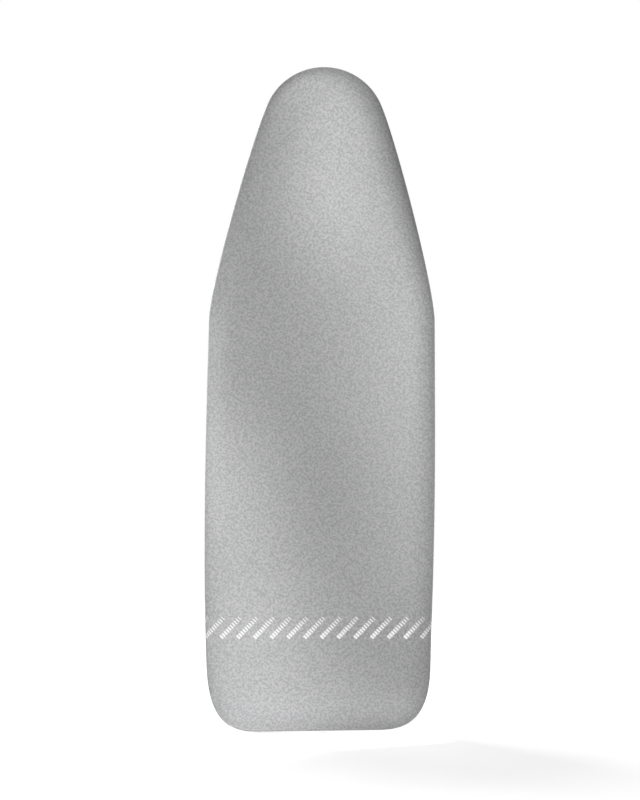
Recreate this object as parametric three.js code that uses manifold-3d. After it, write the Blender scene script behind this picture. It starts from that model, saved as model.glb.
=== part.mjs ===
// An ironing board cover in the shape it takes on its board, nose up: +Z runs from tail to nose,
// the ironing face looks to -Y, and the board lies behind the padding, at +Y.
// The origin is on the plane where the padding meets the board, half way up the cover.
// Lengths are in millimetres.

import * as THREE from 'three';
import { mergeVertices } from 'three/addons/utils/BufferGeometryUtils.js';
import Module from 'manifold-3d';

const wasm = await Module();
wasm.setup();

// Outline of the cover as seen from the front, measured from the tail edge up
const overallLength = 1210;
const noseRadius = 113;
const shoulderHeight = 748;
const shoulderHalfWidth = 206;
const cornerHeight = 118;
const cornerHalfWidth = 204.5;
const tailFlatHalfWidth = 100;
const noseArcEnd = THREE.MathUtils.degToRad(25.6);
const shoulderLean = THREE.MathUtils.degToRad(1);
const cornerLean = THREE.MathUtils.degToRad(1.8);

// Handles of the outline's curves, as shares of the straight distance between the curve's ends
const flankHandleShares = [0.153, 0.151];
const sideHandleShares = [0.38, 0.4];
const cornerHandleShares = [0.75, 0.28];

// Number of steps along each stretch of half the outline
const noseSteps = 8;
const flankSteps = 6;
const sideSteps = 4;
const cornerSteps = 8;

// Layers, from the board outwards
const boardThickness = 22;
const feltThickness = 6;
const foamThickness = 4;
const fabricThickness = 1;
const clearance = 0.3;

// The face is flat in the middle and rolls away towards its edge along a superellipse
const crownWidth = 50;
const crownDepthPastBoard = 6;
const crownPower = 4;
const crownAngles = [0, 25, 50, 70, 90].map(THREE.MathUtils.degToRad);
const padEdgeAngle = crownAngles[2];
const backEdgeRadius = 9;
const backEdgeAngles = [0, 30, 60, 90].map(THREE.MathUtils.degToRad);

// The skirt is the fabric turned in behind the board, and its raw edge sits in the binding
const skirtWidth = 58;
const tailSkirtWidth = 85;
const hemTailFlatHalfWidth = 66;
const bindingLeaf = 10;
const flatPastLeaf = 2;
const bindingThickness = 0.8;
const bindingGapHalfWidth = 16;
const tunnelSteps = 6;

// The cord in the binding, and its two tails that hang behind the skirt
const cordRadius = 1.5;
const cordSides = 8;
const tunnelClearance = 0.6;
const tailSpacing = 3.6;
const tailBendHeight = 14;
const tailBendReach = 9;
const tailBendDrop = 12;
const tailBendSteps = 7;
const knotRadius = 4.4;
const knotSides = 10;

// The spring lock: a barrel across the tails, with a push button in its open end
const barrelRadius = 8.4;
const barrelLength = 19.5;
const barrelFloor = 1.6;
const barrelChamfer = 1.2;
const collarRadius = 8.9;
const collarWidth = 2.6;
const buttonRadius = 5.7;
const buttonProud = 4.5;
const buttonChamfer = 1;
const buttonTravel = 3;
const buttonFoot = 1.8;
const springWireRadius = 0.35;
const springCoilRadius = 3.6;
const springTurns = 4;
const springStepsPerTurn = 8;
const springSides = 5;
const lockDrop = 3;
const latheSegments = 24;
const slotSteps = 6;

// The bell over the knot at the end of the tails
const bellLength = 16;
const bellTopRadius = 5.2;
const bellBottomRadius = 7;
const bellWall = 1.4;
const bellShoulder = 3.2;
const bellFootHeight = 6;

// The blank label, sewn under the binding and hanging behind the skirt
const labelWidth = 24;
const labelLength = 46;
const labelThickness = 0.4;
const labelOffset = 44;
const labelTuck = 3;
const labelSteps = 6;
const labelCurl = 2.4;

// One overrun serves every cut
const overrun = 2;

const faceHeight = feltThickness + foamThickness + 2 * clearance + fabricThickness;
const crownHeight = faceHeight + crownDepthPastBoard;
const feltShare = feltThickness / (feltThickness + foamThickness);
const tunnelRadius = cordRadius + tunnelClearance;
const hemPlane = boardThickness + clearance + tunnelRadius + bindingThickness;
const skirtPlane = boardThickness + clearance + fabricThickness;

// The outline, all round, with every edge moved in by an inset. It starts at the middle of the tail,
// climbs the left side, turns round the nose and comes down the right side.
function outline(inset, tailInset = inset, tailFlat = tailFlatHalfWidth) {
  const radius = noseRadius - inset;
  const noseCentre = overallLength - noseRadius;
  const arcEnd = new THREE.Vector2(
    radius * Math.cos(noseArcEnd),
    noseCentre + radius * Math.sin(noseArcEnd),
  );
  const shoulder = new THREE.Vector2(shoulderHalfWidth - inset, shoulderHeight);
  const corner = new THREE.Vector2(cornerHalfWidth - inset, cornerHeight + tailInset - inset);
  const tailEnd = new THREE.Vector2(tailFlat, tailInset);
  const tailMiddle = new THREE.Vector2(0, tailInset);

  const downArc = new THREE.Vector2(Math.sin(noseArcEnd), -Math.cos(noseArcEnd));
  const downShoulder = new THREE.Vector2(Math.sin(shoulderLean), -Math.cos(shoulderLean));
  const downCorner = new THREE.Vector2(-Math.sin(cornerLean), -Math.cos(cornerLean));
  const alongTail = new THREE.Vector2(-1, 0);

  const stretches = [
    [new THREE.EllipseCurve(0, noseCentre, radius, radius, Math.PI / 2, noseArcEnd, true), noseSteps],
    [curveBetween(arcEnd, downArc, shoulder, downShoulder, flankHandleShares), flankSteps],
    [curveBetween(shoulder, downShoulder, corner, downCorner, sideHandleShares), sideSteps],
    [curveBetween(corner, downCorner, tailEnd, alongTail, cornerHandleShares), cornerSteps],
  ];
  const right = stretches.flatMap(([curve, steps]) => curve.getPoints(steps).slice(0, -1));
  right.push(tailEnd, new THREE.Vector2(bindingGapHalfWidth, tailInset));
  const left = right.slice(1).reverse().map((point) => new THREE.Vector2(-point.x, point.y));
  return [tailMiddle, ...left, ...right];
}

// A curve that leaves its start and reaches its end along given directions
function curveBetween(start, startDirection, end, endDirection, handleShares) {
  const distance = start.distanceTo(end);
  const startHandle = startDirection.clone().multiplyScalar(distance * handleShares[0]);
  const endHandle = endDirection.clone().multiplyScalar(-distance * handleShares[1]);
  return new THREE.CubicBezierCurve(start, startHandle.add(start), endHandle.add(end), end);
}

// The outline of the fabric's raw edge, moved in towards the middle of the board by an inset
function hemOutline(inset) {
  return outline(skirtWidth + inset, tailSkirtWidth + inset, hemTailFlatHalfWidth);
}

// Points of a flat outline placed at a depth along Y
function ring(points, y) {
  return points.map((point) => new THREE.Vector3(point.x, y, point.y));
}

// A closed solid through rings of equal length, with a flat cap on its first and last ring
function loft(rings) {
  const count = rings[0].length;
  const faces = [];
  for (let level = 0; level < rings.length - 1; level += 1) {
    for (let i = 0; i < count; i += 1) {
      const a = level * count + i;
      const b = level * count + ((i + 1) % count);
      faces.push([a, b, a + count], [b, b + count, a + count]);
    }
  }
  const last = (rings.length - 1) * count;
  capFaces(rings[0]).forEach(([a, b, c]) => faces.push([a, c, b]));
  capFaces(rings.at(-1)).forEach(([a, b, c]) => faces.push([last + a, last + b, last + c]));
  return facingOut(rings.flat(), faces);
}

// The triangles that fill one flat ring, turning the same way as the ring
function capFaces(points) {
  const normal = new THREE.Vector3();
  points.forEach((point, i) => {
    normal.add(point.clone().cross(points[(i + 1) % points.length]));
  });
  normal.normalize();
  const across = new THREE.Vector3(normal.y, normal.z, normal.x).cross(normal).normalize();
  const up = normal.clone().cross(across);
  const flat = points.map((point) => new THREE.Vector2(point.dot(across), point.dot(up)));
  return THREE.ShapeUtils.triangulateShape(flat, []);
}

// An indexed geometry whose faces point out, whichever way the rings ran
function facingOut(points, faces) {
  const volume = faces.reduce(
    (sum, [a, b, c]) => sum + points[a].dot(points[b].clone().cross(points[c])),
    0,
  );
  const turned = volume < 0 ? faces.map(([a, b, c]) => [a, c, b]) : faces;
  const geometry = new THREE.BufferGeometry().setFromPoints(points);
  geometry.setIndex(turned.flat());
  geometry.computeVertexNormals();
  return geometry;
}

// A round tube along a line of points, with its sections carried along without twist
function tube(points, radius, sides) {
  let side = null;
  const rings = points.map((point, i) => {
    const before = points[Math.max(i - 1, 0)];
    const after = points[Math.min(i + 1, points.length - 1)];
    const direction = after.clone().sub(before).normalize();
    if (side === null) {
      side = new THREE.Vector3(0, 1, 0).cross(direction);
      if (side.lengthSq() === 0) side.set(1, 0, 0);
    }
    side.addScaledVector(direction, -side.dot(direction)).normalize();
    const other = direction.clone().cross(side);
    return Array.from({ length: sides }, (_, k) => {
      const angle = (2 * Math.PI * k) / sides;
      return point
        .clone()
        .addScaledVector(side, radius * Math.cos(angle))
        .addScaledVector(other, radius * Math.sin(angle));
    });
  });
  return loft(rings);
}

function solidOf(geometry) {
  const bare = new THREE.BufferGeometry();
  bare.setAttribute('position', geometry.getAttribute('position'));
  bare.setIndex(geometry.getIndex());
  const merged = mergeVertices(bare);
  const index = merged.getIndex().array;
  const triVerts = [];
  for (let i = 0; i < index.length; i += 3) {
    const [a, b, c] = index.slice(i, i + 3);
    if (a !== b && b !== c && c !== a) triVerts.push(a, b, c);
  }
  return new wasm.Manifold(
    new wasm.Mesh({
      numProp: 3,
      vertProperties: merged.getAttribute('position').array,
      triVerts: new Uint32Array(triVerts),
    }),
  );
}

function geometryOf(solid) {
  const { vertProperties, triVerts } = solid.getMesh();
  const geometry = new THREE.BufferGeometry();
  geometry.setAttribute('position', new THREE.BufferAttribute(vertProperties, 3));
  geometry.setIndex(new THREE.BufferAttribute(triVerts, 1));
  geometry.computeVertexNormals();
  return geometry;
}

function piece(name, geometry, material) {
  const mesh = new THREE.Mesh(geometry, new THREE.MeshStandardMaterial(material));
  mesh.name = name;
  return mesh;
}

// A place on the rolled edge of the face, at a depth below the fabric's outer surface.
// Angle 0 is where the face turns flat, and a quarter turn is the silhouette.
function crownPlace(angle, depth) {
  const out = crownWidth * Math.sin(angle) ** (2 / crownPower);
  const height = crownHeight * Math.cos(angle);
  const slopeOut = (crownPower * out ** (crownPower - 1)) / crownWidth ** crownPower;
  const slopeUp = (2 * height) / crownHeight ** 2;
  const slope = Math.hypot(slopeOut, slopeUp);
  return {
    inset: crownWidth - out + (depth * slopeOut) / slope,
    y: crownDepthPastBoard - height + (depth * slopeUp) / slope,
  };
}

// The rings of one side of the fabric, from the flat of the face round to the raw edge
function fabricRings(depth) {
  const rings = crownAngles.map((angle) => {
    const place = crownPlace(angle, depth);
    return ring(outline(place.inset), place.y);
  });
  const radius = backEdgeRadius - depth;
  backEdgeAngles.forEach((angle) => {
    const inset = backEdgeRadius - radius * Math.cos(angle);
    rings.push(ring(outline(inset), skirtPlane - backEdgeRadius + radius * Math.sin(angle)));
  });
  const hemDepth = hemPlane + fabricThickness / 2 - depth;
  rings.push(ring(hemOutline(-bindingLeaf - flatPastLeaf), hemDepth));
  rings.push(ring(hemOutline(0), hemDepth));
  return rings;
}

function topCover() {
  const outer = fabricRings(0);
  const inner = fabricRings(fabricThickness);
  return loft([...outer, ...inner.reverse()]);
}

// The two pads share the space under the fabric, so both thin out where it is pulled tight
function padTop(angle) {
  return crownPlace(angle, fabricThickness + clearance);
}

const padAngles = crownAngles.filter((angle) => angle <= padEdgeAngle);

function foamPad() {
  const top = padAngles.map((angle) => {
    const place = padTop(angle);
    return ring(outline(place.inset), place.y);
  });
  const bottom = padAngles.map((angle) => {
    const place = padTop(angle);
    return ring(outline(place.inset), place.y * feltShare - clearance);
  });
  return loft([...top, ...bottom.reverse()]);
}

function feltPad() {
  const top = padAngles.map((angle) => {
    const place = padTop(angle);
    return ring(outline(place.inset), place.y * feltShare);
  });
  return loft([...top, ring(outline(padTop(padEdgeAngle).inset), 0)]);
}

// The binding's section: two leaves over the raw edge and a round tunnel past it. The first number
// of each place is its way in from the raw edge, the second its way out from the hem's middle plane.
function bindingSection() {
  const innerLeaf = fabricThickness / 2 + clearance;
  const outerLeaf = innerLeaf + bindingThickness;
  const outerRadius = tunnelRadius + bindingThickness;
  const outerStart = Math.PI - Math.asin(outerLeaf / outerRadius);
  const innerStart = Math.PI - Math.asin(innerLeaf / tunnelRadius);
  const arc = (radius, from, to) =>
    Array.from({ length: tunnelSteps }, (_, i) => {
      const angle = from + ((to - from) * i) / (tunnelSteps - 1);
      return [tunnelRadius + radius * Math.cos(angle), radius * Math.sin(angle)];
    });
  return [
    [-bindingLeaf, outerLeaf],
    ...arc(outerRadius, outerStart, -outerStart),
    [-bindingLeaf, -outerLeaf],
    [-bindingLeaf, -innerLeaf],
    ...arc(tunnelRadius, -innerStart, innerStart),
    [-bindingLeaf, innerLeaf],
  ];
}

// The binding runs all round the hem and stops short at both sides of the tail's middle
function hemBinding() {
  const lines = bindingSection().map(([inset, out]) =>
    ring(hemOutline(inset), hemPlane + out).slice(1),
  );
  const rings = lines[0].map((_, i) => lines.map((line) => line[i]));
  return loft(rings);
}

const lockAxisY = hemPlane + fabricThickness / 2 + clearance + collarRadius;
const cordHemHeight = tailSkirtWidth + tunnelRadius;
const tailStraightTop = cordHemHeight - tailBendHeight;
const lockRestHeight = tailStraightTop - lockDrop - collarRadius;
const bellTopHeight = bellFootHeight + bellLength;
const knotHeight = bellTopHeight - bellShoulder - clearance - knotRadius;

// One tail, from the binding's end to the knot. The side is -1 for the left end and 1 for the right.
function tailPoints(side, y) {
  const exit = new THREE.Vector3(side * bindingGapHalfWidth, hemPlane, cordHemHeight);
  const straight = new THREE.Vector3(0, y, tailStraightTop);
  const bend = new THREE.CubicBezierCurve3(
    exit,
    new THREE.Vector3(exit.x - side * tailBendReach, hemPlane, cordHemHeight),
    new THREE.Vector3(0, y, tailStraightTop + tailBendDrop),
    straight,
  );
  const lockPlace = new THREE.Vector3(0, y, lockRestHeight);
  const end = new THREE.Vector3(0, y, knotHeight);
  return [...bend.getPoints(tailBendSteps).slice(1), lockPlace, end];
}

function drawCord() {
  const hem = ring(hemOutline(tunnelRadius), hemPlane).slice(1);
  const left = tailPoints(-1, lockAxisY - tailSpacing / 2).reverse();
  const right = tailPoints(1, lockAxisY + tailSpacing / 2);
  const cord = solidOf(tube([...left, ...hem, ...right], cordRadius, cordSides));
  const knot = new THREE.SphereGeometry(knotRadius, knotSides, knotSides / 2);
  knot.rotateX(Math.PI / 2);
  knot.translate(0, lockAxisY, knotHeight);
  return geometryOf(cord.add(solidOf(knot)));
}

// The lock's own frame: the tails run along Z at its origin, and the button points to -X
const barrelOpenEnd = -(cordRadius + clearance + buttonTravel + buttonFoot + barrelChamfer / 2);
const barrelClosedEnd = barrelOpenEnd + barrelLength;
const buttonTop = barrelOpenEnd - buttonProud;
const buttonBottom = cordRadius + clearance + buttonFoot;
const boreRadius = buttonRadius + clearance;

// A solid turned about the X axis. Each place of its profile is a position along X and a radius.
function turned(profile) {
  const points = profile.map(([x, radius]) => new THREE.Vector2(radius, -x));
  const geometry = new THREE.LatheGeometry(points, latheSegments);
  geometry.rotateZ(Math.PI / 2);
  return solidOf(geometry);
}

// A slot with round corners for both tails, cut along Z between two places on the lock's axis
function tailSlot(from, to) {
  const halfHeight = tailSpacing / 2 + cordRadius + clearance;
  const radius = cordRadius + clearance;
  const shape = new THREE.Shape();
  shape.moveTo(from, -halfHeight + radius);
  shape.absarc(from + radius, -halfHeight + radius, radius, Math.PI, 1.5 * Math.PI);
  shape.absarc(to - radius, -halfHeight + radius, radius, -Math.PI / 2, 0);
  shape.absarc(to - radius, halfHeight - radius, radius, 0, Math.PI / 2);
  shape.absarc(from + radius, halfHeight - radius, radius, Math.PI / 2, Math.PI);
  shape.closePath();
  const depth = 2 * (collarRadius + overrun);
  const cutter = new THREE.ExtrudeGeometry(shape, { depth, curveSegments: slotSteps, bevelEnabled: false });
  cutter.translate(0, 0, -depth / 2);
  return solidOf(cutter);
}

function lockBody() {
  const barrel = turned([
    [barrelClosedEnd, 0],
    [barrelClosedEnd, barrelRadius - barrelChamfer],
    [barrelClosedEnd - barrelChamfer, barrelRadius],
    [barrelOpenEnd + collarWidth, barrelRadius],
    [barrelOpenEnd + collarWidth, collarRadius],
    [barrelOpenEnd, collarRadius],
    [barrelOpenEnd, boreRadius],
    [barrelClosedEnd - barrelFloor, boreRadius],
    [barrelClosedEnd - barrelFloor, 0],
  ]);
  const slotEnd = cordRadius + clearance;
  return geometryOf(barrel.subtract(tailSlot(-slotEnd, slotEnd + buttonFoot)));
}

function lockPlunger() {
  const button = turned([
    [buttonBottom, 0],
    [buttonBottom, buttonRadius],
    [buttonTop + buttonChamfer, buttonRadius],
    [buttonTop, buttonRadius - buttonChamfer],
    [buttonTop, 0],
  ]);
  const slotEnd = cordRadius + clearance;
  return geometryOf(button.subtract(tailSlot(-slotEnd - buttonTravel, slotEnd)));
}

function lockSpring() {
  const from = buttonBottom + clearance + springWireRadius;
  const to = barrelClosedEnd - barrelFloor - clearance - springWireRadius;
  const steps = springTurns * springStepsPerTurn;
  const points = Array.from({ length: steps + 1 }, (_, i) => {
    const angle = (2 * Math.PI * i) / springStepsPerTurn;
    const x = from + ((to - from) * i) / steps;
    return new THREE.Vector3(x, springCoilRadius * Math.cos(angle), springCoilRadius * Math.sin(angle));
  });
  return tube(points, springWireRadius, springSides);
}

// The bell, turned about Z, with its mouth at the foot and a neck that the knot can't pass
function cordEnd() {
  const neckRadius = tailSpacing / 2 + cordRadius + clearance;
  const profile = [
    [neckRadius, 0],
    [neckRadius, -bellShoulder],
    [Math.max(knotRadius + clearance, bellTopRadius - bellWall), -bellShoulder],
    [bellBottomRadius - bellWall, -bellLength],
    [bellBottomRadius, -bellLength],
    [bellTopRadius, -bellShoulder / 2],
    [bellTopRadius, 0],
    [neckRadius, 0],
  ];
  const points = profile.map(([radius, z]) => new THREE.Vector2(radius, z));
  const geometry = new THREE.LatheGeometry(points, latheSegments);
  geometry.rotateX(Math.PI / 2);
  return geometryOf(solidOf(geometry));
}

// The label hangs from the binding's outer leaf and curls slightly away from the skirt
function careLabel() {
  const top = tailSkirtWidth - bindingLeaf + labelTuck;
  const leafTop = hemPlane + fabricThickness / 2 + clearance + bindingThickness + clearance;
  const rings = Array.from({ length: labelSteps + 1 }, (_, i) => {
    const share = i / labelSteps;
    const y = leafTop + labelCurl * share ** 2;
    const z = top - labelLength * share;
    return [
      new THREE.Vector3(labelOffset, y, z),
      new THREE.Vector3(labelOffset + labelWidth, y, z),
      new THREE.Vector3(labelOffset + labelWidth, y + labelThickness, z),
      new THREE.Vector3(labelOffset, y + labelThickness, z),
    ];
  });
  return loft(rings);
}

const silver = { color: 0xb4b5b7, roughness: 0.5, metalness: 0.55 };
const foam = { color: 0xe6e0c8, roughness: 1, metalness: 0 };
const felt = { color: 0xb9b6b0, roughness: 1, metalness: 0 };
const tape = { color: 0x9a9c9f, roughness: 0.9, metalness: 0 };
const braid = { color: 0xe9e8e4, roughness: 0.85, metalness: 0 };
const plastic = { color: 0x2c2d30, roughness: 0.45, metalness: 0 };
const steel = { color: 0xb9bcc0, roughness: 0.3, metalness: 1 };
const ribbon = { color: 0xf2f1ee, roughness: 0.7, metalness: 0 };

const cover = new THREE.Group();
cover.position.z = -overallLength / 2;
cover.add(
  piece('top_cover', topCover(), silver),
  piece('foam_pad', foamPad(), foam),
  piece('felt_pad', feltPad(), felt),
  piece('hem_binding', hemBinding(), tape),
  piece('draw_cord', drawCord(), braid),
  piece('care_label', careLabel(), ribbon),
);

const lock = new THREE.Group();
lock.position.set(0, lockAxisY, lockRestHeight);
lock.add(
  piece('lock_body', lockBody(), plastic),
  piece('lock_plunger', lockPlunger(), plastic),
  piece('lock_spring', lockSpring(), steel),
);
cover.add(lock);

const bell = piece('cord_end', cordEnd(), plastic);
bell.position.set(0, lockAxisY, bellTopHeight);
cover.add(bell);

const part = new THREE.Group();
part.add(cover);

export default part;
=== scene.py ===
"""An ironing board cover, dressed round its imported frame. Lengths are in metres."""

import math

import bmesh
import bpy
import numpy as np
from mathutils import Matrix, Vector


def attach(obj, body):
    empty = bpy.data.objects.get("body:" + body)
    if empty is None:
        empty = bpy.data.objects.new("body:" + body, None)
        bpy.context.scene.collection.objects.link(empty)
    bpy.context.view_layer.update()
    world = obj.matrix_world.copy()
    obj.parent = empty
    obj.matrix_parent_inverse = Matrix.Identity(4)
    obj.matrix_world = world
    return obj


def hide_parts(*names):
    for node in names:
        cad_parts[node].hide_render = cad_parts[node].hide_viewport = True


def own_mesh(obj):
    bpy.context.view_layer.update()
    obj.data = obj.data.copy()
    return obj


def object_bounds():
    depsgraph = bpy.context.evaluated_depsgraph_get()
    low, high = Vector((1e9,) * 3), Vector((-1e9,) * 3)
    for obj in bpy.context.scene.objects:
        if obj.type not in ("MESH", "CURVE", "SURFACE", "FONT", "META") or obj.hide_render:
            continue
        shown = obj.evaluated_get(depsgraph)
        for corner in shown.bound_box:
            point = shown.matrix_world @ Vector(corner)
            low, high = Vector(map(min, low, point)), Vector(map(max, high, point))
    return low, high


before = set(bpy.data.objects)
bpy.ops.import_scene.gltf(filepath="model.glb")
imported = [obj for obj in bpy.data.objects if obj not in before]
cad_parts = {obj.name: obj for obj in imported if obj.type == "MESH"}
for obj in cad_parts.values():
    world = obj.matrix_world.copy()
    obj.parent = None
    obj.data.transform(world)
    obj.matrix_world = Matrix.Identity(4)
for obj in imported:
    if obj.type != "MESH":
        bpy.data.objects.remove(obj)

CAD_LOW, CAD_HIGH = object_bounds()
RANDOM_SEED = 7

# Outline of the cover as seen from the front, measured from the tail edge up
LENGTH = 1.210
NOSE_RADIUS = 0.113
SHOULDER_HEIGHT = 0.748
SHOULDER_HALF_WIDTH = 0.206
CORNER_HEIGHT = 0.118
CORNER_HALF_WIDTH = 0.2045
TAIL_FLAT_HALF_WIDTH = 0.100
NOSE_ARC_END = math.radians(25.6)
SHOULDER_LEAN = math.radians(1)
CORNER_LEAN = math.radians(1.8)
FLANK_HANDLE_SHARES = (0.153, 0.151)
SIDE_HANDLE_SHARES = (0.38, 0.40)
CORNER_HANDLE_SHARES = (0.75, 0.28)
NOSE_STEPS = 48
FLANK_STEPS = 90
SIDE_STEPS = 96
CORNER_STEPS = 72
TAIL_STEPS = 40

# Layers and section
BOARD = 0.022
FELT = 0.006
FOAM = 0.004
CLOTH = 0.001
CLOTH_SHOWN = 0.0007
GAP = 0.0003
CROWN_WIDTH = 0.050
CROWN_PAST_BOARD = 0.006
CROWN_POWER = 2.1
BACK_EDGE_RADIUS = 0.009
PAD_EDGE_ANGLE = math.radians(50)

# Hem
SKIRT = 0.058
TAIL_SKIRT = 0.085
HEM_TAIL_FLAT = 0.066
LEAF = 0.010
TAPE = 0.0008
BINDING_GAP = 0.016
CORD_RADIUS = 0.0015
TUNNEL_RADIUS = CORD_RADIUS + 0.0006
HEM_PLANE = BOARD + GAP + TUNNEL_RADIUS + TAPE
SKIRT_PLANE = BOARD + GAP + CLOTH

FACE_HEIGHT = FELT + FOAM + 2 * GAP + CLOTH
CROWN_HEIGHT = FACE_HEIGHT + CROWN_PAST_BOARD
FELT_SHARE = FELT / (FELT + FOAM)
HALF_LENGTH = LENGTH / 2


def cubic(start, first, second, end, t):
    """Points of a cubic curve, at shares of it given one in each row."""
    u = 1 - t
    return u**3 * start + 3 * u**2 * t * first + 3 * u * t**2 * second + t**3 * end


def curve_between(start, start_way, end, end_way, shares, steps):
    """Points of a cubic curve that leaves and arrives along given directions, without its end."""
    distance = np.linalg.norm(end - start)
    first = start + start_way * distance * shares[0]
    second = end - end_way * distance * shares[1]
    return cubic(start, first, second, end, np.linspace(0, 1, steps, endpoint=False)[:, None])


def outline(inset, tail_inset=None, tail_flat=TAIL_FLAT_HALF_WIDTH):
    """The outline all round, moved in by an inset: x and z of each point, from the tail's middle
    up the left side, round the nose and down the right side."""
    tail_inset = inset if tail_inset is None else tail_inset
    radius = NOSE_RADIUS - inset
    centre = LENGTH - NOSE_RADIUS
    angle = np.linspace(math.pi / 2, NOSE_ARC_END, NOSE_STEPS + 1)
    nose = np.stack([radius * np.cos(angle), centre + radius * np.sin(angle)], 1)
    shoulder = np.array([SHOULDER_HALF_WIDTH - inset, SHOULDER_HEIGHT])
    corner = np.array([CORNER_HALF_WIDTH - inset, CORNER_HEIGHT + tail_inset - inset])
    tail_end = np.array([tail_flat, tail_inset])
    down_arc, down_shoulder, down_corner = (
        np.array([math.sin(lean), -math.cos(lean)])
        for lean in (NOSE_ARC_END, SHOULDER_LEAN, -CORNER_LEAN)
    )
    along_tail = np.array([-1.0, 0.0])
    tail = np.linspace(tail_flat, 0, TAIL_STEPS, endpoint=False)
    right = np.concatenate([
        nose[:-1],
        curve_between(nose[-1], down_arc, shoulder, down_shoulder, FLANK_HANDLE_SHARES, FLANK_STEPS),
        curve_between(shoulder, down_shoulder, corner, down_corner, SIDE_HANDLE_SHARES, SIDE_STEPS),
        curve_between(corner, down_corner, tail_end, along_tail, CORNER_HANDLE_SHARES, CORNER_STEPS),
        np.stack([tail, np.full(TAIL_STEPS, tail_inset)], 1),
    ])
    left = right[:0:-1] * [-1, 1]
    points = np.concatenate([[[0.0, tail_inset]], left, right])
    return askew(points, inset) - [0, HALF_LENGTH]


# The photographed cover sits a little askew at its tail: lower at the left, further out at the right
ASKEW_REACH = 0.20
ASKEW_OUT = (0.0028, 0.002)
ASKEW_UP = (-0.0014, 0.025)


def askew(points, inset):
    """The outline as it lies on the board, full at the edge and none at the hem."""
    share = (1 - smooth_step(0, ASKEW_REACH, points[:, 1])) * (1 - smooth_step(0, SKIRT, inset))
    shifts = [(fixed + turn * points[:, 0]) * share for fixed, turn in (ASKEW_OUT, ASKEW_UP)]
    return points + np.stack(shifts, 1)


def hem_outline(inset):
    return outline(SKIRT + inset, TAIL_SKIRT + inset, HEM_TAIL_FLAT)


def ring(points, y):
    """Outline points placed at a depth, which is one number or one for each point."""
    return np.stack([points[:, 0], np.broadcast_to(y, len(points)), points[:, 1]], 1)


def crown_place(angle, depth=0.0):
    """Inset and y on the face's rolled edge, at a depth below the cloth's outer surface."""
    out = CROWN_WIDTH * math.sin(angle) ** (2 / CROWN_POWER)
    height = CROWN_HEIGHT * math.cos(angle)
    slope_out = CROWN_POWER * out ** (CROWN_POWER - 1) / CROWN_WIDTH**CROWN_POWER
    slope_up = 2 * height / CROWN_HEIGHT**2
    slope = math.hypot(slope_out, slope_up)
    inset = CROWN_WIDTH - out + depth * slope_out / slope
    return inset, CROWN_PAST_BOARD - height + depth * slope_up / slope


def smooth_step(low, high, value):
    t = np.clip((value - low) / (high - low), 0, 1)
    return t * t * (3 - 2 * t)


# Where the drawn hem is shorter than the cloth that it gathers, the cloth stands in folds
BACK_RING = outline(BACK_EDGE_RADIUS)
HEM_RING = hem_outline(0)
LEAF_MARGIN = 0.002
LEAF_ZONE = LEAF + LEAF_MARGIN
LEAF_RING = hem_outline(-LEAF_ZONE)
CUT_BEYOND_EDGE = BACK_EDGE_RADIUS + BOARD + SKIRT
MOST_SPARE = 3
SPARE_GATHERED = (0.05, 1.0)
SPARE_SMOOTHING = 17
WANDER_SMOOTHING = 25
SPACING_WANDER = 0.24
TIGHT_FOLD = 0.0096
LOOSE_FOLD = 0.031
TALLEST_FOLD = 0.0066
SIDE_FOLD = 0.0006
SHORT_REACHES = (0.34, 0.58)
LONG_REACHES = (0.78, 1.22)
FOLD_HEIGHTS = (0.66, 1.12)
SHORT_HEIGHT = 0.86
MOST_LEAN = 0.34
FOLD_NEIGHBOURS = (-2, -1, 0, 1, 2)
GROWTH_POWER = 0.6
CREST_POWER = 1.25
LONG_SPREAD = 0.85
LONG_SPREAD_ZONE = (0.35, 0.75)
FLAT_TAIL_HALF_WIDTH = 0.073
FLAT_TAIL_FADE = 0.012
FLAT_TAIL_HEIGHT = 0.03


def steps_along(points):
    return np.linalg.norm(np.roll(points, -1, 0) - points, axis=1)


def smoothed(values, width):
    kernel = np.hanning(width)
    padded = np.concatenate([values[-width:], values, values[:width]])
    return np.convolve(padded, kernel / kernel.sum(), "same")[width:-width]


def ways_along(points):
    way = np.roll(points, -1, 0) - np.roll(points, 1, 0)
    return way / np.linalg.norm(way, axis=1)[:, None]


def outward_of(way):
    return np.stack([-way[:, 1], way[:, 0]], 1)


def fold_places():
    """For each outline point: how many folds lie before it, and how gathered the cloth is there."""
    rng = np.random.default_rng(RANDOM_SEED)
    edge = outline(0)
    cut = steps_along(edge + outward_of(ways_along(edge)) * CUT_BEYOND_EDGE)
    drawn = steps_along(LEAF_RING)
    spare = smoothed(np.clip(cut / drawn - 1, 0, MOST_SPARE), SPARE_SMOOTHING)
    share = smooth_step(*SPARE_GATHERED, spare)
    tail = HEM_RING[:, 1] < HEM_RING[0, 1] + FLAT_TAIL_HEIGHT
    flat_end = FLAT_TAIL_HALF_WIDTH + FLAT_TAIL_FADE
    held_flat = 1 - smooth_step(FLAT_TAIL_HALF_WIDTH, flat_end, np.abs(HEM_RING[:, 0]))
    share = share * (1 - held_flat * tail)
    spacing = LOOSE_FOLD + (TIGHT_FOLD - LOOSE_FOLD) * share
    wander = smoothed(rng.normal(0, 1, len(edge)), WANDER_SMOOTHING)
    wander *= SPACING_WANDER / wander.std()
    place = np.cumsum(drawn / spacing * (1 + wander))
    return place * round(place[-1]) / place[-1], share


FOLD_PLACE, GATHER = fold_places()
FOLD_COUNT = round(FOLD_PLACE[-1])


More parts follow.
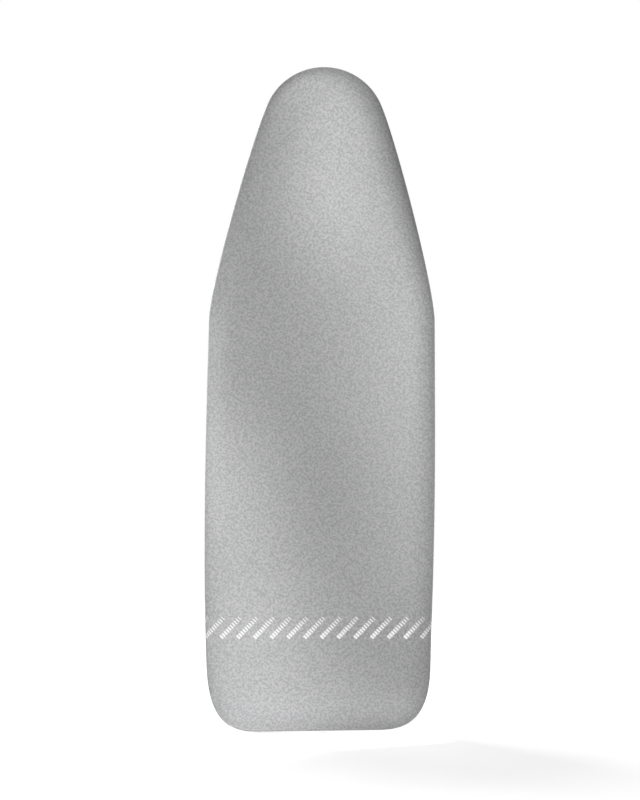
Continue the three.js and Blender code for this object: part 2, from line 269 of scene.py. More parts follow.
def fold_traits():
    """Height, reach towards the board's edge and lean of each fold. Every other one is short."""
    rng = np.random.default_rng(RANDOM_SEED + 1)
    short = np.arange(FOLD_COUNT) % 2 == 1
    short_reach = rng.uniform(*SHORT_REACHES, FOLD_COUNT)
    long_reach = rng.uniform(*LONG_REACHES, FOLD_COUNT)
    height = rng.uniform(*FOLD_HEIGHTS, FOLD_COUNT) * np.where(short, SHORT_HEIGHT, 1.0)
    lean = rng.uniform(-MOST_LEAN, MOST_LEAN, FOLD_COUNT)
    return height, np.where(short, short_reach, long_reach), lean, ~short


HEIGHTS, REACHES, LEANS, LONG = fold_traits()


def fold_lift(across):
    """How far the folds stand off the board, across the skirt from the board's edge, 0, to the
    binding, 1. Some reach on over the board's edge, where across is less than 0."""
    tall = SIDE_FOLD + (TALLEST_FOLD - SIDE_FOLD) * GATHER
    nearest = np.round(FOLD_PLACE).astype(int)
    lift = np.zeros(len(FOLD_PLACE))
    long_width = 1 + LONG_SPREAD * (1 - smooth_step(*LONG_SPREAD_ZONE, across))
    for step in FOLD_NEIGHBOURS:
        fold = (nearest + step) % FOLD_COUNT
        reach = REACHES[fold]
        grown = smooth_step(0, 1, (across - 1 + reach) / reach) ** GROWTH_POWER
        wide = np.where(LONG[fold], long_width, 1.0)
        place = FOLD_PLACE - (nearest + step) - LEANS[fold] * (1 - across)
        crest = np.where(np.abs(place) < wide / 2, 0.5 + 0.5 * np.cos(2 * math.pi * place / wide), 0)
        lift += HEIGHTS[fold] * grown * crest**CREST_POWER
    return tall * lift


BINDING_WAVE = fold_lift(1.0)
LEAST_WAVE = 0.16
WAVE_START = 0.001


def wave_share(inset):
    """The folds' share of their height near the hem: they shrink towards the cord."""
    return LEAST_WAVE + (1 - LEAST_WAVE) * smooth_step(WAVE_START, LEAF_ZONE, -inset)


HEM_WAY = ways_along(HEM_RING)
SKIRT_ROWS = 22
OVER_EDGE = 0.3
LEAF_INSETS = (-0.010, -0.0075, -0.005, -0.0025, -0.0012)


def hem_row(inset, out):
    """A row of points along the binding, at an inset from the hem and a distance out of its plane."""
    return ring(hem_outline(inset), HEM_PLANE + out + BINDING_WAVE * wave_share(inset))


def skirt_row(across):
    flat = BACK_RING + (LEAF_RING - BACK_RING) * across
    rest = HEM_PLANE + CLOTH / 2
    base = SKIRT_PLANE + (rest - SKIRT_PLANE) * smooth_step(0, 0.9, across)
    settled = fold_lift(-OVER_EDGE) * (1 - smooth_step(0, 0.5, across))
    return ring(flat, base + fold_lift(across) - settled)


def skirt_rows():
    """The skirt's outer surface, from the board's back edge to the raw edge."""
    open_rows = [skirt_row(across) for across in np.linspace(0, 1, SKIRT_ROWS + 1)[1:]]
    return open_rows + [hem_row(inset, CLOTH / 2) for inset in (*LEAF_INSETS, 0)]


def linked(name, data):
    thing = bpy.data.objects.new(name, data)
    bpy.context.scene.collection.objects.link(thing)
    return thing


def new_object(name, mesh, body, materials):
    """Links a mesh as a piece that rides on a body."""
    thing = linked(name, mesh)
    for material in materials:
        mesh.materials.append(material)
    mesh.polygons.foreach_set("use_smooth", [True] * len(mesh.polygons))
    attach(thing, body)
    return thing


MERGE_DISTANCE = 1e-6
SLIVER = 1e-7


def mesh_of(name, points, faces, flat_places=None):
    """A mesh from points and faces. flat_places gives each point its place on the flat cloth."""
    mesh = bpy.data.meshes.new(name)
    mesh.from_pydata([tuple(p) for p in points], [], [tuple(f) for f in faces])
    if flat_places is not None:
        layer = mesh.uv_layers.new(name="cloth")
        index = np.empty(len(mesh.loops), dtype=np.int64)
        mesh.loops.foreach_get("vertex_index", index)
        layer.data.foreach_set("uv", np.asarray(flat_places)[index].astype(np.float32).ravel())
    work = bmesh.new()
    work.from_mesh(mesh)
    bmesh.ops.remove_doubles(work, verts=work.verts, dist=MERGE_DISTANCE)
    bmesh.ops.dissolve_degenerate(work, dist=SLIVER, edges=work.edges)
    bmesh.ops.recalc_face_normals(work, faces=work.faces)
    work.to_mesh(mesh)
    work.free()
    return mesh


def loft_faces(levels, count, closed=True):
    """Quads between rings of equal length."""
    across = np.arange(count if closed else count - 1)
    after = (across + 1) % count
    faces = []
    for level in range(levels - 1):
        low, high = level * count, (level + 1) * count
        faces.append(np.stack([low + across, low + after, high + after, high + across], 1))
    return np.concatenate(faces)


def capped_loft(levels, count):
    """Quads between rings, with a face across the first ring and the last."""
    last = (levels - 1) * count
    ends = [tuple(range(count)), tuple(last + k for k in reversed(range(count)))]
    return [tuple(f) for f in loft_faces(levels, count)] + ends


def lofted(name, levels, places=None):
    """A mesh through rings of equal length."""
    flat_places = None if places is None else np.concatenate(places)
    faces = loft_faces(len(levels), len(levels[0]))
    return mesh_of(name, np.concatenate(levels), faces, flat_places)


def travel(points):
    """How far each point lies along the line through them."""
    return np.concatenate([[0], np.cumsum(np.linalg.norm(np.diff(points, axis=0), axis=1))])


def unit(way):
    return way / np.linalg.norm(way)


FACE_ROWS = 14
SPINE_MARGIN = 0.005
SPINE_LOW = ASKEW_REACH + SPINE_MARGIN - HALF_LENGTH
SPINE_HIGH = LENGTH - NOSE_RADIUS - HALF_LENGTH


def rows_to_spine(points):
    """Rings that carry a flat panel from its edge to a line down its middle, the middle first."""
    spine = points * [0, 1, 1]
    spine[:, 2] = np.clip(spine[:, 2], SPINE_LOW, SPINE_HIGH)
    shares = np.linspace(0, 1, FACE_ROWS, endpoint=False)
    return [spine + (points - spine) * share for share in shares]


def value(tree, kind, operation=None, inputs=(), **settings):
    """Adds a node, sets what it is given and links the sockets among its inputs."""
    made = tree.nodes.new(kind)
    if operation:
        made.operation = operation
    for key, setting in settings.items():
        setattr(made, key, setting)
    for socket, given in inputs.items() if isinstance(inputs, dict) else enumerate(inputs):
        if isinstance(given, bpy.types.NodeSocket):
            tree.links.new(given, made.inputs[socket])
        elif given is not None:
            made.inputs[socket].default_value = given
    return made


def math_node(tree, operation, *inputs):
    return value(tree, "ShaderNodeMath", operation, inputs).outputs[0]


def noise(tree, vector, size, detail=2.0, roughness=0.5):
    """Fractal noise whose grains are about the given size."""
    made = value(tree, "ShaderNodeTexNoise", inputs={
        "Vector": vector, "Scale": 1 / size, "Detail": detail, "Roughness": roughness,
    })
    return made.outputs["Fac"]


def ramp(tree, factor, low, high, low_colour, high_colour):
    """A colour that goes from one to another as the factor rises from low to high."""
    made = value(tree, "ShaderNodeValToRGB", inputs={"Fac": factor})
    first, last = made.color_ramp.elements
    first.position, first.color = low, (*low_colour, 1)
    last.position, last.color = high, (*high_colour, 1)
    return made.outputs["Color"]


def mix_colour(tree, factor, first, second, blend="MIX"):
    made = value(tree, "ShaderNodeMix", data_type="RGBA", blend_type=blend)
    for name, given in (("Factor", factor), ("A", first), ("B", second)):
        sockets = [s for s in made.inputs if s.name == name and s.enabled]
        if isinstance(given, bpy.types.NodeSocket):
            tree.links.new(given, sockets[0])
        else:
            sockets[0].default_value = given
    return next(s for s in made.outputs if s.enabled)


def bump(tree, height, distance, strength=1.0, under=None):
    inputs = {"Height": height, "Distance": distance, "Strength": strength}
    if under is not None:
        inputs["Normal"] = under
    return value(tree, "ShaderNodeBump", inputs=inputs).outputs["Normal"]


def new_material(name, **sockets):
    """A principled material, with its constant sockets set, and its tree."""
    material = bpy.data.materials.new(name)
    material.use_nodes = True
    tree = material.node_tree
    shader = tree.nodes["Principled BSDF"]
    for socket, given in sockets.items():
        shader.inputs[socket.replace("_", " ")].default_value = given
    return material, tree


def dressed(material, colour, normal=None, **others):
    """The material with its colour, its relief and other sockets linked."""
    tree = material.node_tree
    shader = tree.nodes["Principled BSDF"]
    for socket, given in {"Base Color": colour, "Normal": normal, **others}.items():
        if given is not None:
            tree.links.new(given, shader.inputs[socket])
    return material


def object_place(tree):
    return value(tree, "ShaderNodeTexCoord").outputs["Object"]


def cloth_place(tree):
    return value(tree, "ShaderNodeUVMap", uv_map="cloth").outputs["UV"]


def axes(tree, place):
    """The first two parts of a place."""
    return value(tree, "ShaderNodeSeparateXYZ", inputs=[place]).outputs[:2]


def turns_of(tree, along, pitch):
    return math_node(tree, "MULTIPLY", along, 2 * math.pi / pitch)


def wave(tree, along, pitch):
    return math_node(tree, "SINE", turns_of(tree, along, pitch))


def cells_of(tree, place, size):
    """How far a place lies from the middle of the cell that it is in."""
    made = value(tree, "ShaderNodeTexVoronoi", inputs={"Vector": place, "Scale": 1 / size})
    return made.outputs["Distance"]


def weave_height(tree, place, pitch):
    """A plain weave: threads that pass over and under each other at a pitch."""
    warp, weft = axes(tree, place)
    return math_node(tree, "MULTIPLY", wave(tree, warp, 2 * pitch), wave(tree, weft, 2 * pitch))


# The printed row near the tail: slanted bars, each a ladder of plain strokes
BAR_PITCH = 0.0304
BAR_THICKNESS = 0.0086
BAR_LENGTH = 0.052
BAR_ANGLE = math.radians(46.5)
BAR_PHASE = 0.0229
STROKE_PITCH = 0.0052
STROKE_WIDTH = 0.0032
STROKE_THINNING = 0.050
ROW_MIDDLE = -0.4164
ROW_TURN = 0.0115
PRINT_EDGE = 0.0005


def within(tree, place, half):
    """How far a place lies inside a strip about 0."""
    return math_node(tree, "SUBTRACT", half, math_node(tree, "ABSOLUTE", place))


def repeated(tree, place, pitch):
    return math_node(tree, "WRAP", place, pitch / 2, -pitch / 2)


def print_mask(tree, place):
    """1 on the printed strokes and 0 off them, with a thin soft edge."""
    x, z = axes(tree, place)
    row = math_node(tree, "MULTIPLY_ADD", x, ROW_TURN, ROW_MIDDLE)
    height = math_node(tree, "SUBTRACT", z, row)
    start = math_node(tree, "MULTIPLY_ADD", height, -1 / math.tan(BAR_ANGLE), x)
    offset = repeated(tree, math_node(tree, "SUBTRACT", start, BAR_PHASE), BAR_PITCH)
    across = math_node(tree, "MULTIPLY", offset, math.sin(BAR_ANGLE))
    rise = math_node(tree, "MULTIPLY", height, 1 / math.sin(BAR_ANGLE))
    along = math_node(tree, "MULTIPLY_ADD", offset, math.cos(BAR_ANGLE), rise)
    bar = math_node(
        tree, "MINIMUM", within(tree, across, BAR_THICKNESS / 2), within(tree, along, BAR_LENGTH / 2)
    )
    thinner = math_node(tree, "MULTIPLY_ADD", along, -STROKE_THINNING / 2, STROKE_WIDTH / 2)
    between = math_node(tree, "ADD", along, STROKE_PITCH / 2)
    stroke = within(tree, repeated(tree, between, STROKE_PITCH), thinner)
    least = math_node(tree, "MINIMUM", bar, stroke)
    edge = value(tree, "ShaderNodeMapRange", inputs={
        "Value": least, "From Min": 0.0, "From Max": PRINT_EDGE,
    })
    return edge.outputs["Result"]


WEAVE_PITCH = 0.00062
GRAIN_SIZE = 0.0036
GRAIN_TILT = (0.7, 0.5, 0.6)
GLINT_SIZE = 0.0009
CLOTH_METAL = 0.16
PRINT_METAL = 0.60
PRINT_COLOUR = (0.77, 0.77, 0.765, 1)


def silver_cloth():
    """Metallised cotton: a fine weave with a coating that varies in grains."""
    material, tree = new_material("silver_cloth", Roughness=0.52, Specular_IOR_Level=0.3)
    place = cloth_place(tree)
    turned_place = {"Vector": place, "Rotation": GRAIN_TILT}
    tilted = value(tree, "ShaderNodeMapping", inputs=turned_place).outputs[0]
    grain = noise(tree, tilted, GRAIN_SIZE, 0.0)
    glint = noise(tree, place, GLINT_SIZE, 1.0, 0.6)
    speckle = ramp(tree, grain, 0.30, 0.70, (0.356, 0.357, 0.362), (0.486, 0.487, 0.491))
    fine = ramp(tree, glint, 0.35, 0.70, (0.95, 0.95, 0.95), (1.045, 1.045, 1.045))
    coated = mix_colour(tree, 1.0, speckle, fine, "MULTIPLY")
    printed = print_mask(tree, place)
    metal = math_node(tree, "MULTIPLY_ADD", printed, PRINT_METAL - CLOTH_METAL, CLOTH_METAL)
    weave = bump(tree, weave_height(tree, place, WEAVE_PITCH), 0.00008, 0.35)
    relief = bump(tree, glint, 0.00012, 0.25, weave)
    colour = mix_colour(tree, printed, coated, PRINT_COLOUR)
    return dressed(material, colour, relief, Metallic=metal)


def cotton_back():
    """The uncoated side of the cloth."""
    material, tree = new_material("cotton_back", Roughness=0.92, Sheen_Weight=0.2)
    place = cloth_place(tree)
    tone = noise(tree, place, 0.004, 3.0)
    colour = ramp(tree, tone, 0.3, 0.7, (0.66, 0.65, 0.62), (0.78, 0.77, 0.745))
    weave = weave_height(tree, place, WEAVE_PITCH)
    return dressed(material, colour, bump(tree, weave, 0.0001, 0.5))


def turned(tree, place, angle, stretch):
    """The place turned in the plane of the board, and drawn out along one direction."""
    return value(tree, "ShaderNodeMapping", vector_type="TEXTURE", inputs={
        "Vector": place, "Rotation": (0, angle, 0), "Scale": (1, 1, stretch),
    }).outputs[0]


# The felt's fibres by the way they lie: angle, and how far they darken and lighten it
FELT_FIBRES = ((0.25, 0.62, 1.42), (1.15, 0.66, 1.34), (2.05, 0.60, 1.36), (2.75, 0.70, 1.28))
FIBRE_WIDTH = 0.00085
FIBRE_STRETCH = 4.5
NEEDLE_SPACING = 0.0038


def needle_felt():
    """Needled felt of mixed fibres that lie every way, with the marks of the needles."""
    material, tree = new_material("needle_felt", Roughness=1.0, Sheen_Weight=0.35)
    place = object_place(tree)
    clumps = noise(tree, place, 0.017, 4.0, 0.6)
    colour = ramp(tree, clumps, 0.30, 0.72, (0.37, 0.365, 0.355), (0.50, 0.495, 0.48))
    height = None
    for angle, dark, light in FELT_FIBRES:
        fibre = noise(tree, turned(tree, place, angle, FIBRE_STRETCH), FIBRE_WIDTH, 2.0, 0.5)
        tint = ramp(tree, fibre, 0.36, 0.66, (dark**0.5,) * 3, (light**0.5,) * 3)
        colour = mix_colour(tree, 1.0, colour, tint, "MULTIPLY")
        height = fibre if height is None else math_node(tree, "MAXIMUM", height, fibre)
    pits = math_node(tree, "MINIMUM", cells_of(tree, place, NEEDLE_SPACING), 0.4)
    relief = bump(tree, height, 0.0006, 0.8, bump(tree, pits, 0.0006, 0.4))
    return dressed(material, colour, relief)


FOAM_CELL = 0.0011
TWILL_PITCH = 0.0011
TAPE_THREAD_PITCH = 0.0005
BRAID_STRANDS = 4
BRAID_PITCH = 0.0034
RIBBON_PITCH = 0.00045


def pale_foam():
    """Open-cell foam, painted darker in the middle of each cell, where its bump sinks into a pore:
    painted shade.
    """
    material, tree = new_material("pale_foam", Roughness=1.0)
    pore_depth_and_shade = cells_of(tree, object_place(tree), FOAM_CELL)
    # painted shade in the pores: the colour darkens towards each cell's middle, where the same cells
    # sink the bump
    colour = ramp(tree, pore_depth_and_shade, 0.1, 0.7, (0.62, 0.57, 0.42), (0.80, 0.76, 0.60))
    return dressed(material, colour, bump(tree, pore_depth_and_shade, 0.0006, 0.8))


def twill_tape():
    """Cotton tape with a twill weave, in a mid grey, with painted shade in the grooves between its
    ribs and a slightly lighter painted crest on each rib.
    """
    material, tree = new_material("twill_tape", Roughness=0.88, Sheen_Weight=0.25)
    place = cloth_place(tree)
    ribs = wave(tree, math_node(tree, "ADD", *axes(tree, place)), TWILL_PITCH)
    threads = weave_height(tree, place, TAPE_THREAD_PITCH)
    worn = noise(tree, object_place(tree), 0.009, 3.0)
    base = ramp(tree, worn, 0.3, 0.75, (0.255, 0.26, 0.27), (0.335, 0.34, 0.35))
    # painted shade and light: darker in the grooves between the twill's ribs and a little lighter on
    # their crests, where the ribs' bump rises
    painted_rib_shade = ramp(tree, ribs, 0.0, 1.0, (0.82, 0.82, 0.82), (1.06, 1.06, 1.06))
    relief = bump(tree, threads, 0.00006, 0.5, bump(tree, ribs, 0.00012, 0.8))
    return dressed(material, mix_colour(tree, 1.0, base, painted_rib_shade, "MULTIPLY"), relief)


def sewing_thread():
    material, tree = new_material("sewing_thread", Roughness=0.6, Sheen_Weight=0.3)
    tone = noise(tree, object_place(tree), 0.0007, 2.0)
    return dressed(material, ramp(tree, tone, 0.3, 0.7, (0.50, 0.505, 0.51), (0.68, 0.685, 0.69)))


def braided_cord():
    """Polyester cord: strands that cross round it, painted darker in the grooves between them:
    painted shade.
    """
    material, tree = new_material("braided_cord", Roughness=0.7, Sheen_Weight=0.3)
    turn, length = axes(tree, cloth_place(tree))
    round_it = turns_of(tree, turn, 1 / BRAID_STRANDS)
    along = turns_of(tree, length, BRAID_PITCH)
    one = math_node(tree, "SINE", math_node(tree, "ADD", round_it, along))
    other = math_node(tree, "SINE", math_node(tree, "SUBTRACT", round_it, along))
    strand_height_and_shade = math_node(tree, "MAXIMUM", one, other)
    # painted shade between the strands: the colour darkens where the strands' bump sinks
    colour = ramp(tree, strand_height_and_shade, 0.05, 0.8, (0.46, 0.455, 0.44), (0.80, 0.795, 0.78))
    return dressed(material, colour, bump(tree, strand_height_and_shade, 0.00022, 0.9))


def moulded_plastic():
    """Dark moulded plastic with a fine matt skin, glossier in patches."""
    material, tree = new_material("moulded_plastic", IOR=1.46, Coat_Weight=0.08)
    place = object_place(tree)
    skin = noise(tree, place, 0.00022, 3.0, 0.6)
    rubbed = noise(tree, place, 0.0035, 3.0, 0.55)
    base = ramp(tree, rubbed, 0.35, 0.75, (0.018, 0.019, 0.022), (0.034, 0.035, 0.039))
    levels = {"Value": rubbed, "To Min": 0.34, "To Max": 0.52}
    gloss = value(tree, "ShaderNodeMapRange", inputs=levels).outputs["Result"]
    return dressed(material, base, bump(tree, skin, 0.00003, 0.5), Roughness=gloss)


def spring_wire():
    material, tree = new_material("spring_wire", Metallic=1.0, Roughness=0.28)
    tone = noise(tree, object_place(tree), 0.0009, 3.0)
    return dressed(material, ramp(tree, tone, 0.3, 0.7, (0.48, 0.49, 0.50), (0.66, 0.67, 0.68)))


def label_ribbon():
    """Blank satin ribbon."""
    material, tree = new_material("label_ribbon", Roughness=0.48, Sheen_Weight=0.2)
    place = cloth_place(tree)
    threads = wave(tree, axes(tree, place)[0], RIBBON_PITCH)
    tone = noise(tree, place, 0.003, 3.0)
    colour = ramp(tree, tone, 0.3, 0.7, (0.78, 0.775, 0.755), (0.86, 0.855, 0.835))
    return dressed(material, colour, bump(tree, threads, 0.00004, 0.5))


CROWN_STEPS = 18
WALL_STEPS = 3
BACK_EDGE_STEPS = 7


def cover_rings():
    """The cloth's outer surface, from the flat of the face to the raw edge."""
    rings = []
    for angle in np.linspace(0, math.pi / 2, CROWN_STEPS):
        inset, y = crown_place(angle)
        rings.append(ring(outline(inset), y))
    wall_end = SKIRT_PLANE - BACK_EDGE_RADIUS
    for y in np.linspace(CROWN_PAST_BOARD, wall_end, WALL_STEPS + 1)[1:]:
        rings.append(ring(outline(0), y))
    outward = outward_of(ways_along(outline(0)))
    for share in np.linspace(0, 1, BACK_EDGE_STEPS + 1)[1:]:
        angle = share * math.pi / 2
        inset = BACK_EDGE_RADIUS * (1 - math.cos(angle))
        lift = (fold_lift((share - 1) * OVER_EDGE) - fold_lift(-OVER_EDGE))[:, None]
        away = lift * np.array([math.cos(angle), math.sin(angle)])
        place = ring(outline(inset), wall_end + BACK_EDGE_RADIUS * math.sin(angle) + away[:, 1])
        place[:, [0, 2]] += outward * away[:, :1]
        rings.append(place)
    return rings + skirt_rows()


def flat_cut(rings):
    """Where each ring lies on the cloth before it is wrapped round the board."""
    start = rings[0][:, [0, 2]]
    way = ways_along(start)
    outward = outward_of(way)
    travelled = np.zeros(len(start))
    places = [start]
    for before, after in zip(rings, rings[1:]):
        step = after - before
        sideways = np.sum(step[:, [0, 2]] * way, 1)
        travelled = travelled + np.sqrt(np.sum(step**2, 1) - sideways**2)
        shift = np.sum((after[:, [0, 2]] - start) * way, 1)
        places.append(start + outward * travelled[:, None] + way * shift[:, None])
    return places


def top_cover(outside, inside):
    rings = cover_rings()
    inner_rows = rows_to_spine(rings[0])
    places = [row[:, [0, 2]] for row in inner_rows] + flat_cut(rings)
    mesh = lofted("top_cover_cloth", inner_rows + rings, places)
    piece = new_object("top_cover_cloth", mesh, "cover", [outside, inside])
    shell = piece.modifiers.new("cloth", "SOLIDIFY")
    shell.thickness = CLOTH_SHOWN
    shell.offset = -1
    shell.material_offset = 1
    shell.material_offset_rim = 1
    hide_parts("top_cover")


PAD_STEPS = 8


def pad(name, bottom, top, material, node):
    """A pad under the cloth, crowned in front and squeezed thin at its edge. Bottom and top give
    its two sides from the depth under the cloth."""
    angles = np.linspace(0, PAD_EDGE_ANGLE, PAD_STEPS)
    places = [crown_place(angle, CLOTH + GAP) for angle in angles]
    section = [(inset, top(y)) for inset, y in places]
    section += [(inset, bottom(y)) for inset, y in reversed(places)]
    rings = [ring(outline(inset), y) for inset, y in section]
    mesh = lofted(name, rows_to_spine(rings[0]) + rings + rows_to_spine(rings[-1])[::-1])
    piece = new_object(name, mesh, "cover", [material])
    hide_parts(node)


TAPE_GIRTH = 0.05
TUNNEL_ARC_STEPS = 18
TUNNEL_CRIMP = 0.62
CRIMP_HEIGHTS = (0.5, 1.0)
CRIMP_SWAY = 0.3
CRIMP_SWAY_RATE = 1.7


def tape_section():
    """The binding's section: way in from the raw edge, and way out from the hem's plane."""
    inner = CLOTH / 2 + GAP / 2

    def skin(out, radius):
        """One face of the tape: down its outer leaf, round the tunnel and up its inner leaf."""
        start = math.pi - math.asin(out / radius)
        angles = np.linspace(start, -start, TUNNEL_ARC_STEPS)
        arc = [(TUNNEL_RADIUS + radius * math.cos(a), radius * math.sin(a)) for a in angles]
        leaf = [(inset, out) for inset in LEAF_INSETS]
        return leaf + arc + [(inset, -out) for inset in reversed(LEAF_INSETS)]

    return skin(inner + TAPE, TUNNEL_RADIUS + TAPE) + skin(inner, TUNNEL_RADIUS)[::-1]


def hem_index_range():
    """The outline points that the binding covers: all but the gap at the tail's middle."""
    at_tail = np.isclose(HEM_RING[:, 1], HEM_RING[0, 1], atol=1e-6)
    covered = ~(at_tail & (np.abs(HEM_RING[:, 0]) < BINDING_GAP))
    return np.nonzero(covered)[0]


def crimp():
    """How far the tunnel's wall stands off the cord where the gathered tape is bunched on it."""
    rng = np.random.default_rng(RANDOM_SEED + 2)
    heights = rng.uniform(*CRIMP_HEIGHTS, 2 * FOLD_COUNT)
    place = 2 * FOLD_PLACE + CRIMP_SWAY * np.sin(FOLD_PLACE * CRIMP_SWAY_RATE)
    bump_height = heights[np.round(place).astype(int) % (2 * FOLD_COUNT)]
    return TUNNEL_CRIMP * GATHER * bump_height * (0.5 + 0.5 * np.cos(2 * math.pi * place))


def tape_row(inset, out, puff):
    """One line of the binding along the hem. On the tunnel, puff stands it off the cord."""
    if inset <= LEAF_INSETS[-1]:
        return hem_row(inset, out)
    far = smooth_step(LEAF_INSETS[-1], TUNNEL_RADIUS, inset)
    flat = hem_outline(inset) - outward_of(HEM_WAY) * (puff * far * max(inset, 0))[:, None]
    swell = 1 + puff * far * (out > 0)
    return ring(flat, HEM_PLANE + out * swell + BINDING_WAVE * wave_share(inset) * (1 - far))


def hem_tape(material):
    keep = hem_index_range()
    section = tape_section()
    puff = crimp()
    sections = np.stack([tape_row(inset, out, puff)[keep] for inset, out in section], 1)
    count = len(section)
    girth, length = np.linspace(0, TAPE_GIRTH, count), travel(sections[:, 0])
    places = np.stack(np.broadcast_arrays(girth[None, :], length[:, None]), 2)
    faces = capped_loft(len(sections), count)
    mesh = mesh_of("hem_tape", sections.reshape(-1, 3), faces, places.reshape(-1, 2))
    piece = new_object("hem_tape", mesh, "cover", [material])
    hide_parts("hem_binding")


# The cord's tails, the lock and the bell
TAIL_SPACING = 0.0036
TAIL_BEND_HEIGHT = 0.014
COLLAR_RADIUS = 0.0089
LOCK_Y = HEM_PLANE + CLOTH / 2 + GAP + COLLAR_RADIUS
LOCK_BELOW_BEND = 0.003
CORD_HEM_HEIGHT = TAIL_SKIRT + TUNNEL_RADIUS - HALF_LENGTH
TAIL_STRAIGHT_TOP = CORD_HEM_HEIGHT - TAIL_BEND_HEIGHT
LOCK_REST = TAIL_STRAIGHT_TOP - LOCK_BELOW_BEND - COLLAR_RADIUS
BELL_LENGTH = 0.016
BELL_ABOVE_TAIL = 0.006
BELL_TOP = BELL_ABOVE_TAIL + BELL_LENGTH - HALF_LENGTH
BELL_SHOULDER = 0.0032
KNOT_RADIUS = 0.0044
KNOT_HEIGHT = BELL_TOP - BELL_SHOULDER - GAP - KNOT_RADIUS

LABEL_WIDTH = 0.024
LABEL_LENGTH = 0.046
LABEL_THICKNESS = 0.0003
LABEL_OFFSET = 0.044
LABEL_MIDDLE = LABEL_OFFSET + LABEL_WIDTH / 2
LABEL_OVERLAP = 0.003
LABEL_MARGIN = 0.001
LABEL_CURL = 0.0024
LABEL_LIFT = 0.0002
LABEL_CUP = 0.0003
LABEL_WAVE = 0.00035
LABEL_WAVE_WAYS = (5.2, 2.1)
STITCH_PITCH = 0.0034
STITCH_LENGTH = 0.0025
STITCH_RADIUS = 0.00028
STITCH_INSETS = (LEAF_INSETS[1], LEAF_INSETS[3])
STITCH_SIDES = 6
# Along a stitch: share of its length, and its size and rise in thread radii
STITCH_SHAPE = (
    (0.0, 0.35, -0.7), (0.16, 0.9, 0.1), (0.5, 1.0, 0.45), (0.84, 0.9, 0.1), (1.0, 0.35, -0.7),
)
OFF_BOARD = np.array([0, 1.0, 0])


def stitch(start, end):
    """Points and faces of one stitch: a short thread that dips in at both ends."""
    way = end - start
    side = unit(np.cross(way, OFF_BOARD))
    up = unit(np.cross(side, way))
    angle = np.linspace(0, 2 * math.pi, STITCH_SIDES, endpoint=False)[:, None]
    around = side * np.cos(angle) + up * np.sin(angle)
    rings = [
        start + way * share + STITCH_RADIUS * (up * rise + around * size)
        for share, size, rise in STITCH_SHAPE
    ]
    return list(np.concatenate(rings)), capped_loft(len(STITCH_SHAPE), STITCH_SIDES)


def hem_stitches(material):
    """Two rows of lockstitch through the binding's outer leaf."""
    keep = hem_index_range()
    outer = CLOTH / 2 + GAP / 2 + TAPE
    points, faces = [], []
    for inset in STITCH_INSETS:
        line = hem_row(inset, outer)[keep]
        near = np.abs(line[:, 0] - LABEL_MIDDLE) < LABEL_WIDTH / 2 + LABEL_MARGIN
        over_label = (line[:, 2] < CORD_HEM_HEIGHT) & near & (inset < LABEL_OVERLAP - LEAF)
        line[:, 1] += over_label * (LABEL_THICKNESS + GAP)
        travelled = travel(line)
        for begin in np.arange(STITCH_PITCH, travelled[-1] - STITCH_PITCH, STITCH_PITCH):
            ends = [
                np.array([np.interp(at, travelled, line[:, axis]) for axis in range(3)])
                for at in (begin, begin + STITCH_LENGTH)
            ]
            new_points, new_faces = stitch(*ends)
            faces += [tuple(len(points) + k for k in face) for face in new_faces]
            points += new_points
    mesh = bpy.data.meshes.new("hem_stitches")
    mesh.from_pydata([tuple(p) for p in points], [], faces)
    new_object("hem_stitches", mesh, "cover", [material])


TAIL_BEND_REACH = 0.009
TAIL_BEND_DROP = 0.012
TAIL_BEND_STEPS = 20
TAIL_DROP_STEPS = 24
CORD_SIDES = 14


def tail_points(side, y):
    """One tail, from the binding's end to the knot."""
    start = np.array([side * BINDING_GAP, HEM_PLANE, CORD_HEM_HEIGHT])
    first = start - [side * TAIL_BEND_REACH, 0, 0]
    end = np.array([0, y, TAIL_STRAIGHT_TOP])
    second = end + [0, 0, TAIL_BEND_DROP]
    bend = cubic(start, first, second, end, np.linspace(0, 1, TAIL_BEND_STEPS + 1)[1:, None])
    drop = np.linspace(TAIL_STRAIGHT_TOP, KNOT_HEIGHT, TAIL_DROP_STEPS)[1:]
    straight = np.stack([np.zeros(len(drop)), np.full(len(drop), y), drop], 1)
    return np.concatenate([bend, straight])


def tube_mesh(name, points, radius, sides):
    """A round tube along points, with its length and turn kept for the material."""
    ways = np.gradient(points, axis=0)
    ways /= np.linalg.norm(ways, axis=1)[:, None]
    side = np.cross(OFF_BOARD, ways[0])
    turns = np.linspace(0, 1, sides, endpoint=False)
    angle = 2 * math.pi * turns[:, None]
    rings, places = [], []
    for point, way, travelled in zip(points, ways, travel(points)):
        side = unit(side - way * np.dot(side, way))
        other = np.cross(way, side)
        rings.append(point + radius * (side * np.cos(angle) + other * np.sin(angle)))
        places.append(np.stack([turns, np.full(sides, travelled)], 1))
    faces = capped_loft(len(rings), sides)
    return mesh_of(name, np.concatenate(rings), faces, np.concatenate(places))


def draw_cord(material):
    keep = hem_index_range()
    hem = ring(hem_outline(TUNNEL_RADIUS), HEM_PLANE)[keep]
    left = tail_points(-1, LOCK_Y - TAIL_SPACING / 2)[::-1]
    right = tail_points(1, LOCK_Y + TAIL_SPACING / 2)
    route = np.concatenate([left, hem, right])
    mesh = tube_mesh("drawn_cord", route, CORD_RADIUS, CORD_SIDES)
    piece = new_object("drawn_cord", mesh, "cover", [material])
    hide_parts("draw_cord")


LATHE_SEGMENTS = 64


def lathe(name, profile, axis):
    """A closed solid turned about X or Z. Each place of the profile is a position and a radius,
    and the first and the last are on the axis or are the same."""
    angle = np.linspace(0, 2 * math.pi, LATHE_SEGMENTS, endpoint=False)
    rings = []
    for along, radius in profile:
        a, b = radius * np.cos(angle), radius * np.sin(angle)
        fixed = np.full(LATHE_SEGMENTS, along)
        rings.append(np.stack([fixed, a, b] if axis == "X" else [a, b, fixed], 1))
    return lofted(name, rings)


MOST_ROUNDED = 0.45


